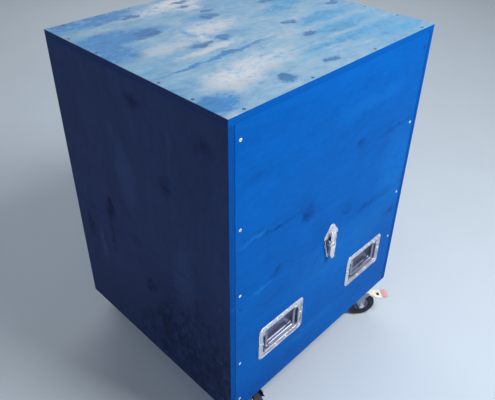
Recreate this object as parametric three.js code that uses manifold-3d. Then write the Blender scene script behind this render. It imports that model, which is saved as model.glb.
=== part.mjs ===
// Wooden chest on casters: a plywood base tray with a tall plywood hood hinged to its back edge.
// Millimetres, +Z up. The origin is on the floor under the middle of the chest; the front faces -Y.

import * as THREE from 'three';
import { mergeVertices } from 'three/addons/utils/BufferGeometryUtils.js';
import Module from 'manifold-3d';

const wasm = await Module();
wasm.setup();

// ---------------------------------------------------------------- driving dimensions

const WIDTH = 772;
const DEPTH = 688;
const BOX_HEIGHT = 940;
const UNDERSIDE = 128;
const BASE_HEIGHT = 420;
const PLY = 18;
const GAP = 0.3;
const PARTING_GAP = 1;
const BATTEN = 32;

// The handles and the catch are set out from a line a little to the right of the middle.
const FITTINGS_X = 8;
const CATCH_X = 5;
const HANDLE_SPREAD = 198;
const HANDLE_Z = UNDERSIDE + 204;
const FLANGE = { width: 182, height: 121, radius: 13, thickness: 1.5 };
const POCKET = { width: 148, height: 84, radius: 11, depth: 22, wall: 1.5 };
const BAIL = { radius: 4.75, leg: 58, pivotUp: 31, gripDown: 30.5, inset: 4, trunnionEnd: 72.5 };
const BOSS = { inner: 67.5, drop: 10, bore: 5.1 };

const CATCH_PIVOT = { out: 7, z: UNDERSIDE + 410, radius: 2 };
const CLAW_PIVOT = { out: 9.5, z: UNDERSIDE + 400, radius: 1.6 };
const CATCH_PLATE = { halfWidth: 27, footHalfWidth: 14, thickness: 2, bottom: UNDERSIDE + 353,
  waist: UNDERSIDE + 393, top: UNDERSIDE + 418.5 };
const LEVER = { halfWidth: 11, tipHalfWidth: 6, lug: 2.5, face: 13.5, thickness: 2,
  taper: UNDERSIDE + 371, tail: UNDERSIDE + 355 };
const CLAW = { halfWidth: 7.2, headHalfWidth: 10.8, back: 9.4, thickness: 1.8, top: UNDERSIDE + 448 };
const KEEPER = { halfWidth: 31, nose: 15, lipOut: 5.5, bottom: UNDERSIDE + 423, top: UNDERSIDE + 466 };

const HINGE_X = 240;
const HINGE = { width: 76, leaf: 2.5, length: 48, barrel: 6, pin: 3, axisOut: 6.8, knuckle: 13 };
const STOP = { reach: 13.5, thickness: 3, angle: 39.5, overlap: 8 };

const CASTER_X = 263.6;
const CASTER_Y = 291;
const CASTER_PLATE = { length: 100, width: 85, thickness: 3, radius: 9 };
const SWIVEL = { radius: 27, bottom: 116.3, pinRadius: 6, pinHead: 9, pinBottom: 99 };
const FORK = { trail: 38, cheekInner: 18, cheek: 3, crownBottom: 105, crownTop: 109 };
const WHEEL = { radius: 50, width: 30, hub: 24.5, bore: 5.4, hubWidth: 34, web: 9 };
const AXLE = { radius: 5, head: 8.5, headLength: 4.7 };
const PEDAL = { pivotS: 56, pivotZ: 103, tipS: 134, halfWidth: 17.4, trunnion: 3, hole: 3.4 };

const TOP = UNDERSIDE + BOX_HEIGHT;
const PARTING = UNDERSIDE + BASE_HEIGHT;
const HALF_W = WIDTH / 2;
const HALF_D = DEPTH / 2;
const INNER_X = HALF_W - PLY;
const INNER_Y = HALF_D - PLY;

// ---------------------------------------------------------------- materials

function finish(color, roughness, metalness) {
  return new THREE.MeshStandardMaterial({ color, roughness, metalness });
}

const stainedPly = finish(0x1e5fae, 0.45, 0);
const bareBatten = finish(0xc9a878, 0.7, 0);
const zinc = finish(0xc6c8cc, 0.35, 0.9);
const steel = finish(0xd4d6da, 0.25, 1);
const rubber = finish(0x1c1b26, 0.8, 0);
const hubPlastic = finish(0x566079, 0.5, 0);
const creamSteel = finish(0xe9e6d4, 0.4, 0.1);

// ---------------------------------------------------------------- solids and geometry helpers

const chest = new THREE.Group();

function addPart(name, geometry, material, parent = chest) {
  const mesh = new THREE.Mesh(geometry, material);
  mesh.name = name;
  parent.add(mesh);
  return mesh;
}

function toSolid(geometry) {
  const bare = geometry.index ? geometry.toNonIndexed() : geometry.clone();
  bare.deleteAttribute('normal');
  bare.deleteAttribute('uv');
  const merged = mergeVertices(bare, 1e-4);
  return new wasm.Manifold(new wasm.Mesh({
    numProp: 3,
    vertProperties: new Float32Array(merged.attributes.position.array),
    triVerts: new Uint32Array(merged.index.array),
  }));
}

function toGeometry(solid) {
  const mesh = solid.getMesh();
  const geometry = new THREE.BufferGeometry();
  geometry.setAttribute('position', new THREE.BufferAttribute(mesh.vertProperties, 3));
  geometry.setIndex(new THREE.BufferAttribute(mesh.triVerts, 1));
  geometry.computeVertexNormals();
  return geometry;
}

function join(...geometries) {
  return toGeometry(geometries.map(toSolid).reduce((whole, next) => whole.add(next)));
}

function common(geometry, limit) {
  return toGeometry(toSolid(geometry).intersect(toSolid(limit)));
}

function cut(geometry, ...tools) {
  return toGeometry(tools.map(toSolid).reduce((whole, tool) => whole.subtract(tool), toSolid(geometry)));
}

// A box given by its lowest and highest corner.
function block(x0, x1, y0, y1, z0, z1) {
  const geometry = new THREE.BoxGeometry(x1 - x0, y1 - y0, z1 - z0);
  return geometry.translate((x0 + x1) / 2, (y0 + y1) / 2, (z0 + z1) / 2);
}

// A round bar along X, Y or Z, centred on a point.
function bar(axis, radius, length, x, y, z, segments = 16) {
  const geometry = new THREE.CylinderGeometry(radius, radius, length, segments);
  if (axis === 'x') geometry.rotateZ(Math.PI / 2);
  if (axis === 'z') geometry.rotateX(Math.PI / 2);
  return geometry.translate(x, y, z);
}

// A turned solid about Z from [radius, height] pairs.
function turned(pairs, segments) {
  const profile = pairs.map(([radius, height]) => new THREE.Vector2(radius, height));
  return new THREE.LatheGeometry(profile, segments).rotateX(Math.PI / 2);
}

function outline(pairs) {
  return new THREE.Shape(pairs.map(([u, v]) => new THREE.Vector2(u, v)));
}

function roundedRect(width, height, radius, u = 0, v = 0) {
  const shape = new THREE.Shape();
  const [a, b] = [width / 2, height / 2];
  shape.moveTo(u - a + radius, v - b);
  shape.lineTo(u + a - radius, v - b);
  shape.absarc(u + a - radius, v - b + radius, radius, -Math.PI / 2, 0, false);
  shape.absarc(u + a - radius, v + b - radius, radius, 0, Math.PI / 2, false);
  shape.absarc(u - a + radius, v + b - radius, radius, Math.PI / 2, Math.PI, false);
  shape.absarc(u - a + radius, v - b + radius, radius, Math.PI, 1.5 * Math.PI, false);
  return shape;
}

function extrude(shape, depth, curveSegments = 5) {
  return new THREE.ExtrudeGeometry(shape, { depth, bevelEnabled: false, curveSegments });
}

// An X-Z outline standing between the planes y0 and y1.
function standing(shape, y0, y1, curveSegments) {
  return extrude(shape, y1 - y0, curveSegments).rotateX(Math.PI / 2).translate(0, y1, 0);
}

// An outline whose u runs along +Y and v along +Z, filling x0 to x1.
function acrossX(shape, x0, x1, curveSegments) {
  const geometry = extrude(shape, x1 - x0, curveSegments);
  const turn = new THREE.Matrix4().makeBasis(
    new THREE.Vector3(0, 1, 0), new THREE.Vector3(0, 0, 1), new THREE.Vector3(1, 0, 0));
  return geometry.applyMatrix4(turn).translate(x0, 0, 0);
}

// ---------------------------------------------------------------- plywood base and hood

const SIDES = [['left', -1], ['right', 1]];
const ENDS = [['front', -1], ['back', 1]];

function orderedBlock(x0, x1, y0, y1, z0, z1) {
  return block(Math.min(x0, x1), Math.max(x0, x1), Math.min(y0, y1), Math.max(y0, y1), z0, z1);
}

function addSidePanels(prefix, z0, z1) {
  for (const [side, sx] of SIDES) {
    const geometry = orderedBlock(sx * INNER_X, sx * HALF_W, -HALF_D, HALF_D, z0, z1);
    addPart(`${prefix}_${side}_panel`, geometry, stainedPly);
  }
}

function addBattens(prefix, z0, z1) {
  const [x, y] = [INNER_X - GAP, INNER_Y - GAP];
  for (const [end, sy] of ENDS) {
    for (const [side, sx] of SIDES) {
      const geometry = orderedBlock(sx * (x - BATTEN), sx * x, sy * (y - BATTEN), sy * y, z0, z1);
      addPart(`${prefix}_batten_${end}_${side}`, geometry, bareBatten);
    }
  }
}

// The front and back base panels have a square-cut window for each recessed handle.
function basePanelWithWindows(sy) {
  const x = INNER_X - GAP;
  const sheet = orderedBlock(-x, x, sy * HALF_D, sy * INNER_Y, UNDERSIDE, PARTING - PARTING_GAP / 2);
  const clearance = POCKET.wall + 1;
  const [halfWidth, halfHeight] = [POCKET.width / 2 + clearance, POCKET.height / 2 + clearance];
  const windows = SIDES.map(([, sx]) => {
    const middle = FITTINGS_X + sx * HANDLE_SPREAD;
    return orderedBlock(middle - halfWidth, middle + halfWidth, sy * (HALF_D + 1), sy * (INNER_Y - 1),
      HANDLE_Z - halfHeight, HANDLE_Z + halfHeight);
  });
  return cut(sheet, ...windows);
}

function addBase() {
  const [x, y] = [INNER_X - GAP, INNER_Y - GAP];
  addPart('base_floor', block(-x, x, -y, y, UNDERSIDE, UNDERSIDE + PLY), stainedPly);
  addSidePanels('base', UNDERSIDE, PARTING - PARTING_GAP / 2);
  for (const [end, sy] of ENDS) addPart(`base_${end}_panel`, basePanelWithWindows(sy), stainedPly);
  addBattens('base', UNDERSIDE + PLY + GAP, PARTING - GAP / 2);
}

function addHood() {
  const [z0, z1] = [PARTING + PARTING_GAP / 2, TOP - PLY - GAP];
  addPart('hood_top_panel', block(-HALF_W, HALF_W, -HALF_D, HALF_D, TOP - PLY, TOP), stainedPly);
  addSidePanels('hood', z0, z1);
  for (const [end, sy] of ENDS) {
    const x = INNER_X - GAP;
    addPart(`hood_${end}_panel`, orderedBlock(-x, x, sy * INNER_Y, sy * HALF_D, z0, z1), stainedPly);
  }
  addBattens('hood', PARTING + GAP / 2, z1);
}

// ---------------------------------------------------------------- recessed handles

// Built for the front face in a frame whose origin is the middle of the handle on that face.
function handleDish() {
  const front = -GAP - FLANGE.thickness;
  const floor = front + POCKET.depth;
  const pan = roundedRect(POCKET.width + 2 * POCKET.wall, POCKET.height + 2 * POCKET.wall,
    POCKET.radius + POCKET.wall);
  const flange = standing(roundedRect(FLANGE.width, FLANGE.height, FLANGE.radius), front, -GAP, 3);
  const outer = standing(pan, -GAP - 0.5, floor + POCKET.wall, 3);
  const pocket = standing(roundedRect(POCKET.width, POCKET.height, POCKET.radius), front - 1, floor, 3);
  const shell = cut(join(flange, outer), pocket);
  const bosses = SIDES.map(([, sx]) => orderedBlock(sx * BOSS.inner, sx * (POCKET.width / 2 + 1),
    BAIL.inset - BAIL.radius - 1, floor + 1, BAIL.pivotUp - BOSS.drop, POCKET.height / 2 + 1));
  const bore = bar('x', BOSS.bore, 2 * BAIL.trunnionEnd + 1, 0, BAIL.inset, BAIL.pivotUp, 16);
  return cut(join(shell, common(join(...bosses), outer)), bore);
}

// A bent rod: trunnion, leg, grip, leg, trunnion.
function bailGeometry() {
  const path = new THREE.CurvePath();
  const at = (x, z) => new THREE.Vector3(x, BAIL.inset, z);
  const [leg, high, low] = [BAIL.leg, BAIL.pivotUp, -BAIL.gripDown];
  const [upperBend, lowerBend] = [7, 11];
  const points = [
    at(-BAIL.trunnionEnd, high), at(-leg - upperBend, high), at(-leg, high), at(-leg, high - upperBend),
    at(-leg, low + lowerBend), at(-leg, low), at(-leg + lowerBend, low),
    at(leg - lowerBend, low), at(leg, low), at(leg, low + lowerBend),
    at(leg, high - upperBend), at(leg, high), at(leg + upperBend, high), at(BAIL.trunnionEnd, high),
  ];
  for (let i = 0; i + 1 < points.length; i += 3) {
    path.add(new THREE.LineCurve3(points[i], points[i + 1]));
    if (i + 3 < points.length) {
      path.add(new THREE.QuadraticBezierCurve3(points[i + 1], points[i + 2], points[i + 3]));
    }
  }
  const section = new THREE.Shape().absarc(0, 0, BAIL.radius, 0, 2 * Math.PI, false);
  return new THREE.ExtrudeGeometry(section, {
    steps: 38, curveSegments: 4, bevelEnabled: false, extrudePath: path,
  });
}

function addHandles() {
  for (const [end, sy] of ENDS) {
    for (const [side, sx] of SIDES) {
      const station = new THREE.Group();
      station.position.set(FITTINGS_X + sx * HANDLE_SPREAD, sy * HALF_D, HANDLE_Z);
      if (sy > 0) station.rotation.z = Math.PI;
      chest.add(station);
      addPart(`handle_dish_${end}_${side}`, handleDish(), zinc, station);
      addPart(`handle_bail_${end}_${side}`, bailGeometry(), steel, station);
    }
  }
}

// ---------------------------------------------------------------- draw catch on the front

// Catch outlines are given as [distance out from the front face, height].
function catchPlate(pairs, x0, x1) {
  return acrossX(outline(pairs.map(([out, z]) => [-HALF_D - out, z])), x0, x1);
}

function catchBar(pivot, radius, length, segments = 16) {
  return bar('x', radius, length, 0, -HALF_D - pivot.out, pivot.z, segments);
}

// A plate with a narrow foot, a window each side and a pair of cheeks that carry the lever.
function catchBasePlate() {
  const { halfWidth, footHalfWidth, thickness, bottom, waist, top } = CATCH_PLATE;
  const corner = 5;
  const shape = outline([[-halfWidth, top], [-halfWidth, waist + corner], [-halfWidth + corner, waist],
    [-footHalfWidth, bottom + corner], [-footHalfWidth + corner, bottom], [footHalfWidth - corner, bottom],
    [footHalfWidth, bottom + corner], [halfWidth - corner, waist], [halfWidth, waist + corner],
    [halfWidth, top]]);
  const [inner, outer] = [LEVER.halfWidth + 0.5, LEVER.halfWidth + 2.5];
  const back = -HALF_D - GAP;
  const windows = SIDES.map(([, sx]) => orderedBlock(sx * (outer + 3), sx * (halfWidth - 4),
    back - thickness - 1, back + 1, waist + corner, top - 4));
  const plate = cut(standing(shape, back - thickness, back), ...windows);
  const [out, z] = [CATCH_PIVOT.out, CATCH_PIVOT.z];
  const cheekSide = [[1, z - 16], [1, top], [out - 2, top], [out + 3, z + 4], [out + 4.5, z],
    [out + 2, z - 5]];
  const cheeks = SIDES.map(([, sx]) => {
    const [x0, x1] = [sx * inner, sx * outer].sort((a, b) => a - b);
    return catchPlate(cheekSide, x0, x1);
  });
  return cut(join(plate, ...cheeks), catchBar(CATCH_PIVOT, CATCH_PIVOT.radius + GAP, 40));
}

function pinWithHeads(pivot, shankHalf, headRadius) {
  const profile = [[0, -shankHalf - 1.5], [headRadius, -shankHalf - 1.5], [headRadius, -shankHalf],
    [pivot.radius, -shankHalf], [pivot.radius, shankHalf], [headRadius, shankHalf],
    [headRadius, shankHalf + 1.5], [0, shankHalf + 1.5]];
  return turned(profile, 14).rotateY(Math.PI / 2).translate(0, -HALF_D - pivot.out, pivot.z);
}

function catchLever() {
  const { halfWidth, tipHalfWidth, lug, face, thickness, taper, tail } = LEVER;
  const [out, z] = [CATCH_PIVOT.out, CATCH_PIVOT.z];
  const plateTop = CLAW_PIVOT.z - 6;
  const sideOutline = [[face, tail + 5], [face, CLAW_PIVOT.z], [out + 4, z + 1], [out + 2, z + 3.6],
    [out - 2, z + 3.6], [out - 4, z], [out - 1.5, CLAW_PIVOT.z - 4], [face - thickness, plateTop - 2],
    [face - thickness, tail + 5]];
  const lugs = SIDES.map(([, sx]) => {
    const [x0, x1] = [sx * (halfWidth - lug), sx * halfWidth].sort((a, b) => a - b);
    return catchPlate(sideOutline, x0, x1);
  });
  const strip = catchPlate([[face, plateTop], [face, tail + 5], [face + 3.5, tail],
    [face + 2, tail - 1.5], [face - thickness, tail + 4], [face - thickness, plateTop]],
  -halfWidth, halfWidth);
  const tapered = standing(outline([[-halfWidth, z + 10], [-halfWidth, taper], [-tipHalfWidth, tail - 2],
    [tipHalfWidth, tail - 2], [halfWidth, taper], [halfWidth, z + 10]]), -HALF_D - 30, -HALF_D);
  return cut(common(join(strip, ...lugs), tapered), catchBar(CATCH_PIVOT, CATCH_PIVOT.radius + GAP, 40),
    catchBar(CLAW_PIVOT, CLAW_PIVOT.radius + GAP, 40));
}

function catchClaw() {
  const { halfWidth, headHalfWidth, back, thickness, top } = CLAW;
  const front = back + thickness;
  const shoulder = PARTING - 1;
  const strip = catchPlate([[back, CLAW_PIVOT.z + 1], [back, top - 2], [front, top - 2],
    [front, CLAW_PIVOT.z + 1]], -halfWidth, halfWidth);
  const head = catchPlate([[back, shoulder], [back, top - 3], [KEEPER.lipOut + 0.6, top - 3],
    [KEEPER.lipOut + 0.6, top - 1], [front - 1, top], [front, top - 1], [front, shoulder]],
  -headHalfWidth, headHalfWidth);
  const eye = catchBar(CLAW_PIVOT, 3.4, 2 * halfWidth);
  return cut(join(strip, head, eye), catchBar(CLAW_PIVOT, CLAW_PIVOT.radius + GAP, 40));
}

function catchKeeper() {
  const { halfWidth, nose, lipOut, bottom, top } = KEEPER;
  const middle = top - nose;
  const shape = new THREE.Shape();
  shape.moveTo(-halfWidth, bottom);
  shape.lineTo(halfWidth, bottom);
  shape.lineTo(halfWidth, bottom + 9);
  shape.absarc(0, middle, nose, 0.2, Math.PI - 0.2, false);
  shape.lineTo(-halfWidth, bottom + 9);
  shape.holes.push(circlePath(0, middle, 2.6));
  const back = -HALF_D - GAP;
  const plate = standing(shape, back - CATCH_PLATE.thickness, back, 6);
  const lip = catchPlate([[1.5, bottom + 9], [1.5, bottom + 18], [lipOut, bottom + 17],
    [lipOut, bottom + 12]], -9, 9);
  return join(plate, lip);
}

function addCatch() {
  const station = new THREE.Group();
  station.position.x = CATCH_X;
  chest.add(station);
  addPart('catch_base_plate', catchBasePlate(), zinc, station);
  addPart('catch_pivot_pin', pinWithHeads(CATCH_PIVOT, LEVER.halfWidth + 2.8, 3.2), steel, station);
  addPart('catch_lever', catchLever(), zinc, station);
  addPart('catch_claw_pin', pinWithHeads(CLAW_PIVOT, LEVER.halfWidth + GAP, 2.4), steel, station);
  addPart('catch_claw', catchClaw(), zinc, station);
  addPart('catch_keeper', catchKeeper(), zinc, station);
}

// ---------------------------------------------------------------- stop hinges on the back

const HINGE_Y = HALF_D + HINGE.axisOut;

// A block that stands out radially from the hinge axis, turned to the angle of the stops.
function radialBlock(sign, inner, outer, x0, x1) {
  const side = [[inner, 0], [outer, 0], [outer, sign * STOP.thickness], [inner, sign * STOP.thickness]];
  const piece = acrossX(outline(sign > 0 ? side : side.reverse()), x0, x1);
  return piece.rotateX(THREE.MathUtils.degToRad(sign * STOP.angle)).translate(0, HINGE_Y, PARTING);
}

// sign is -1 for the leaf on the base and +1 for the leaf on the hood.
function hingeLeaf(sign, knuckles, lugSpans) {
  const half = HINGE.width / 2;
  const inner = HALF_D + GAP;
  const far = PARTING + sign * HINGE.length;
  const near = PARTING + sign * 5.4;
  const plate = block(-half, half, inner, inner + HINGE.leaf, Math.min(far, near), Math.max(far, near));
  const pieces = [plate];
  for (const [x0, x1] of knuckles) {
    const [low, high] = [Math.min(near + sign, PARTING), Math.max(near + sign, PARTING)];
    pieces.push(block(x0, x1, inner, inner + HINGE.leaf, low, high));
    pieces.push(bar('x', HINGE.barrel, x1 - x0, (x0 + x1) / 2, HINGE_Y, PARTING));
    pieces.push(radialBlock(sign, HINGE.barrel - 2, HINGE.barrel + 1, x0, x1));
  }
  // The lugs on the two leaves meet when the hood reaches its limit.
  for (const [x0, x1] of lugSpans) {
    pieces.push(radialBlock(sign, HINGE.barrel + 0.6, STOP.reach, x0, x1));
  }
  return cut(join(...pieces), bar('x', HINGE.pin + GAP, HINGE.width + 4, 0, HINGE_Y, PARTING));
}

function hingePin() {
  const half = HINGE.width / 2 + GAP;
  const profile = [[0, -half - 2], [4.6, -half - 2], [4.6, -half], [HINGE.pin, -half],
    [HINGE.pin, half], [4.6, half], [4.6, half + 2], [0, half + 2]];
  return turned(profile, 16).rotateY(Math.PI / 2).translate(0, HINGE_Y, PARTING);
}

function addHinges() {
  const [half, knuckle] = [HINGE.width / 2, HINGE.knuckle];
  const outer = [[-half, -knuckle - GAP], [knuckle + GAP, half]];
  for (const [side, sx] of SIDES) {
    const station = new THREE.Group();
    station.position.x = sx * HINGE_X;
    chest.add(station);
    addPart(`hinge_base_leaf_${side}`, hingeLeaf(-1, outer, outer), zinc, station);
    const reach = knuckle + STOP.overlap;
    addPart(`hinge_hood_leaf_${side}`, hingeLeaf(1, [[-knuckle, knuckle]], [[-reach, reach]]), zinc, station);
    addPart(`hinge_pin_${side}`, hingePin(), steel, station);
  }
}

// ---------------------------------------------------------------- casters

// [name, side of X, side of Y, direction the wheel trails in degrees from +X, has a brake pedal]
const CASTERS = [
  ['front_left', -1, -1, -105, false],
  ['front_right', 1, -1, -38, true],
  ['back_left', -1, 1, 105, false],
  ['back_right', 1, 1, 38, true],
];

function casterPlate() {
  const top = UNDERSIDE - GAP;
  const bottom = top - CASTER_PLATE.thickness;
  const shape = roundedRect(CASTER_PLATE.length, CASTER_PLATE.width, CASTER_PLATE.radius);
  const plate = extrude(shape, CASTER_PLATE.thickness, 3).translate(0, 0, bottom);
  const { radius, bottom: race, pinRadius, pinHead, pinBottom } = SWIVEL;
  const column = turned([[0, pinBottom], [pinHead, pinBottom], [pinHead, FORK.crownBottom - GAP],
    [pinRadius, FORK.crownBottom - GAP], [pinRadius, race], [radius - 3, race], [radius, race + 3],
    [radius, bottom + 1], [0, bottom + 1]], 24);
  return join(plate, column);
}

// Fork and pedal outlines run along the trail and up.
function cheekOutline(withPedal) {
  const shape = new THREE.Shape();
  shape.moveTo(-20, FORK.crownTop);
  shape.lineTo(-20, FORK.crownBottom - 4);
  shape.lineTo(13, 79);
  shape.absarc(FORK.trail, WHEEL.radius, 10.5, 1.12 * Math.PI, 2.06 * Math.PI, false);
  shape.lineTo(49, 86);
  shape.lineTo(PEDAL.pivotS + 5, PEDAL.pivotZ - 5);
  shape.absarc(PEDAL.pivotS, PEDAL.pivotZ, 6, 0, Math.PI / 2, false);
  if (withPedal) shape.holes.push(circlePath(PEDAL.pivotS, PEDAL.pivotZ, PEDAL.hole));
  shape.holes.push(circlePath(FORK.trail, WHEEL.radius, AXLE.radius + GAP));
  return shape;
}

function circlePath(u, v, radius) {
  return new THREE.Path().absarc(u, v, radius, 0, 2 * Math.PI, true);
}

function forkGeometry(withPedal) {
  const { cheekInner, cheek, crownBottom, crownTop } = FORK;
  const cheeks = SIDES.map(([, sy]) => {
    const [y0, y1] = [sy * cheekInner, sy * (cheekInner + cheek)].sort((a, b) => a - b);
    return standing(cheekOutline(withPedal), y0, y1, 5);
  });
  const crown = block(-24, 38, -cheekInner - cheek, cheekInner + cheek, crownBottom, crownTop);
  const cup = turned([[0, crownBottom + 1], [SWIVEL.radius - 3, crownBottom + 1],
    [SWIVEL.radius, crownTop], [SWIVEL.radius, SWIVEL.bottom - GAP - 3],
    [SWIVEL.radius - 3, SWIVEL.bottom - GAP], [0, SWIVEL.bottom - GAP]], 24);
  const bore = bar('z', SWIVEL.pinRadius + GAP, 40, 0, 0, crownTop);
  return cut(join(crown, cup, ...cheeks), bore);
}

// Wheel solids are turned about the axle, then laid across the fork.
function onAxle(geometry) {
  return geometry.rotateX(Math.PI / 2).translate(FORK.trail, 0, WHEEL.radius);
}

function tyreGeometry() {
  const [inner, outer, half] = [WHEEL.hub + GAP, WHEEL.radius, WHEEL.width / 2];
  const pairs = [[inner, -half + 1], [outer - 7, -half], [outer - 2, -half + 3], [outer, -half + 8],
    [outer, half - 8], [outer - 2, half - 3], [outer - 7, half], [inner, half - 1], [inner, -half + 1]];
  return onAxle(turned(pairs, 24));
}

function hubGeometry() {
  const { bore, hub: rim, web } = WHEEL;
  const [long, wide] = [WHEEL.hubWidth / 2, WHEEL.width / 2 - 1];
  const pairs = [[bore, -long], [9, -long], [10, -web], [rim - 5, -web], [rim - 4, -wide], [rim, -wide],
    [rim, wide], [rim - 4, wide], [rim - 5, web], [10, web], [9, long], [bore, long], [bore, -long]];
  return onAxle(turned(pairs, 12));
}

function axleGeometry() {
  const shank = FORK.cheekInner + FORK.cheek + GAP;
  const end = shank + AXLE.headLength;
  const pairs = [[0, -end], [AXLE.head, -end], [AXLE.head, -shank], [AXLE.radius, -shank],
    [AXLE.radius, shank], [AXLE.head, shank], [AXLE.head, end], [0, end]];
  return onAxle(turned(pairs, 12));
}

function pedalGeometry() {
  const { pivotS, pivotZ, tipS, halfWidth, trunnion } = PEDAL;
  const shape = new THREE.Shape();
  shape.moveTo(pivotS, pivotZ - 5);
  shape.lineTo(pivotS + 7, pivotZ - 4);
  shape.lineTo(pivotS + 38, pivotZ - 25.5);
  shape.lineTo(tipS, pivotZ - 25.5);
  shape.lineTo(tipS + 2, pivotZ - 24);
  shape.lineTo(tipS, pivotZ - 22.5);
  shape.lineTo(pivotS + 39, pivotZ - 22.5);
  shape.lineTo(pivotS + 8, pivotZ - 1);
  shape.absarc(pivotS, pivotZ, 5, 0.3, 1.5 * Math.PI, false);
  const plate = standing(shape, -halfWidth, halfWidth, 6);
  const length = 2 * (FORK.cheekInner + FORK.cheek) - 1;
  return join(plate, bar('y', trunnion, length, pivotS, 0, pivotZ, 14));
}

function addCasters() {
  for (const [corner, sx, sy, direction, braked] of CASTERS) {
    const station = new THREE.Group();
    station.position.set(sx * CASTER_X, sy * CASTER_Y, 0);
    chest.add(station);
    addPart(`caster_plate_${corner}`, casterPlate(), zinc, station);
    const swivel = new THREE.Group();
    swivel.rotation.z = THREE.MathUtils.degToRad(direction);
    station.add(swivel);
    addPart(`caster_fork_${corner}`, forkGeometry(braked), zinc, swivel);
    addPart(`caster_axle_${corner}`, axleGeometry(), steel, swivel);
    addPart(`caster_hub_${corner}`, hubGeometry(), hubPlastic, swivel);
    addPart(`caster_tyre_${corner}`, tyreGeometry(), rubber, swivel);
    if (braked) addPart(`brake_pedal_${corner}`, pedalGeometry(), creamSteel, swivel);
  }
}

addBase();
addHood();
addHandles();
addCatch();
addHinges();
addCasters();

export default chest;
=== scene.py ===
"""Looks for the wooden chest: stained plywood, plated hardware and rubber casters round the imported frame."""

import math

import bmesh
import bpy
from mathutils import Matrix, Vector


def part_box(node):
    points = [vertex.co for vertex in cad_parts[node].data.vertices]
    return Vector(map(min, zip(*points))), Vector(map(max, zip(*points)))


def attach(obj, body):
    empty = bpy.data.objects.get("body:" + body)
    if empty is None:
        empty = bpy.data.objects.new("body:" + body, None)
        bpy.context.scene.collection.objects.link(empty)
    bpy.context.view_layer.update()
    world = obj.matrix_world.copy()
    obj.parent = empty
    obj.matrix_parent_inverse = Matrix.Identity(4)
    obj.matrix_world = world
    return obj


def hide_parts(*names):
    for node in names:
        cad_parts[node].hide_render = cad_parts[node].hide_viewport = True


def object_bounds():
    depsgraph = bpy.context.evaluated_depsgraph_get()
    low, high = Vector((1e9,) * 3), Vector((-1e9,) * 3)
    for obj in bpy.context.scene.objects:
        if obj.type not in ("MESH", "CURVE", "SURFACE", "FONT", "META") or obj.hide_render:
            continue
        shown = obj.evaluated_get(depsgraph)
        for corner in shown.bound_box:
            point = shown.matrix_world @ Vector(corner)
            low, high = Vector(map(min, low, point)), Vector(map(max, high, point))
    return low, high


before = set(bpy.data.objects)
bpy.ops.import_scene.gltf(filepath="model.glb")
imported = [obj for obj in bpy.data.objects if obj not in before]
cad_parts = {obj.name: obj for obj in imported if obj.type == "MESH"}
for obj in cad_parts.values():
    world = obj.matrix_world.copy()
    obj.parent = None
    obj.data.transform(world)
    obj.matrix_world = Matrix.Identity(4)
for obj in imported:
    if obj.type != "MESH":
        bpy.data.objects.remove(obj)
cad_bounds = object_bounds()

MM = 0.001
SIDES = ("left", "right")
ENDS = {"front": -1, "back": 1}
CORNERS = [f"{end}_{side}" for end in ENDS for side in SIDES]
BRAKED = ["front_right", "back_right"]


# ---------------------------------------------------------------- shader nodes


def new_material(name, color=(0.5, 0.5, 0.5), roughness=0.5, metallic=0.0, specular=0.5):
    """A material with its node tree and its shader node."""
    material = bpy.data.materials.new(name)
    material.use_nodes = True
    shader = material.node_tree.nodes["Principled BSDF"]
    shader.inputs["Base Color"].default_value = (*color, 1)
    shader.inputs["Roughness"].default_value = roughness
    shader.inputs["Metallic"].default_value = metallic
    shader.inputs["Specular IOR Level"].default_value = specular
    return material, material.node_tree, shader


def add(tree, kind, inputs=None, **settings):
    """A new node, its inputs linked where a socket is given and set where a value is."""
    node = tree.nodes.new(kind)
    for key, value in settings.items():
        setattr(node, key, value)
    for key, value in (inputs or {}).items():
        if isinstance(value, bpy.types.NodeSocket):
            tree.links.new(value, node.inputs[key])
        else:
            node.inputs[key].default_value = value
    return node


def object_place(tree):
    return add(tree, "ShaderNodeTexCoord").outputs["Object"]


def stretched(tree, vector, scale, shift=(0, 0, 0)):
    node = add(tree, "ShaderNodeMapping", {"Vector": vector, "Scale": scale, "Location": shift})
    return node.outputs["Vector"]


def noise(tree, vector, *, detail, scale=1.0, roughness=0.55, output="Fac"):
    inputs = {"Vector": vector, "Scale": scale, "Detail": detail, "Roughness": roughness}
    return add(tree, "ShaderNodeTexNoise", inputs).outputs[output]


def calc(tree, operation, first, second=0.0):
    return add(tree, "ShaderNodeMath", {0: first, 1: second}, operation=operation).outputs[0]


def vector_calc(tree, operation, first, second=(0, 0, 0)):
    return add(tree, "ShaderNodeVectorMath", {0: first, 1: second}, operation=operation)


def remap(tree, value, low, high, to_low=0.0, to_high=1.0, smooth=False):
    inputs = {"Value": value, "From Min": low, "From Max": high, "To Min": to_low, "To Max": to_high}
    kind = "SMOOTHSTEP" if smooth else "LINEAR"
    return add(tree, "ShaderNodeMapRange", inputs, interpolation_type=kind).outputs["Result"]


def blend_colors(tree, factor, first, second, mode="MIX"):
    colors = [c if isinstance(c, bpy.types.NodeSocket) else (*c, 1) for c in (first, second)]
    inputs = {0: factor, 6: colors[0], 7: colors[1]}
    return add(tree, "ShaderNodeMix", inputs, data_type="RGBA", blend_type=mode).outputs[2]


def shaded(tree, color, value, low, high, to_low, to_high):
    """A colour multiplied by a value that is remapped to a factor."""
    return blend_colors(tree, 1.0, color, remap(tree, value, low, high, to_low, to_high), "MULTIPLY")


def ramp(tree, factor, stops):
    """A colour ramp, its first two stops being its ends."""
    node = add(tree, "ShaderNodeValToRGB", {"Fac": factor})
    elements = node.color_ramp.elements
    for index, (position, color) in enumerate(stops):
        element = elements[index] if index < 2 else elements.new(position)
        element.position = position
        element.color = (*color, 1)
    return node.outputs["Color"]


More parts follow.
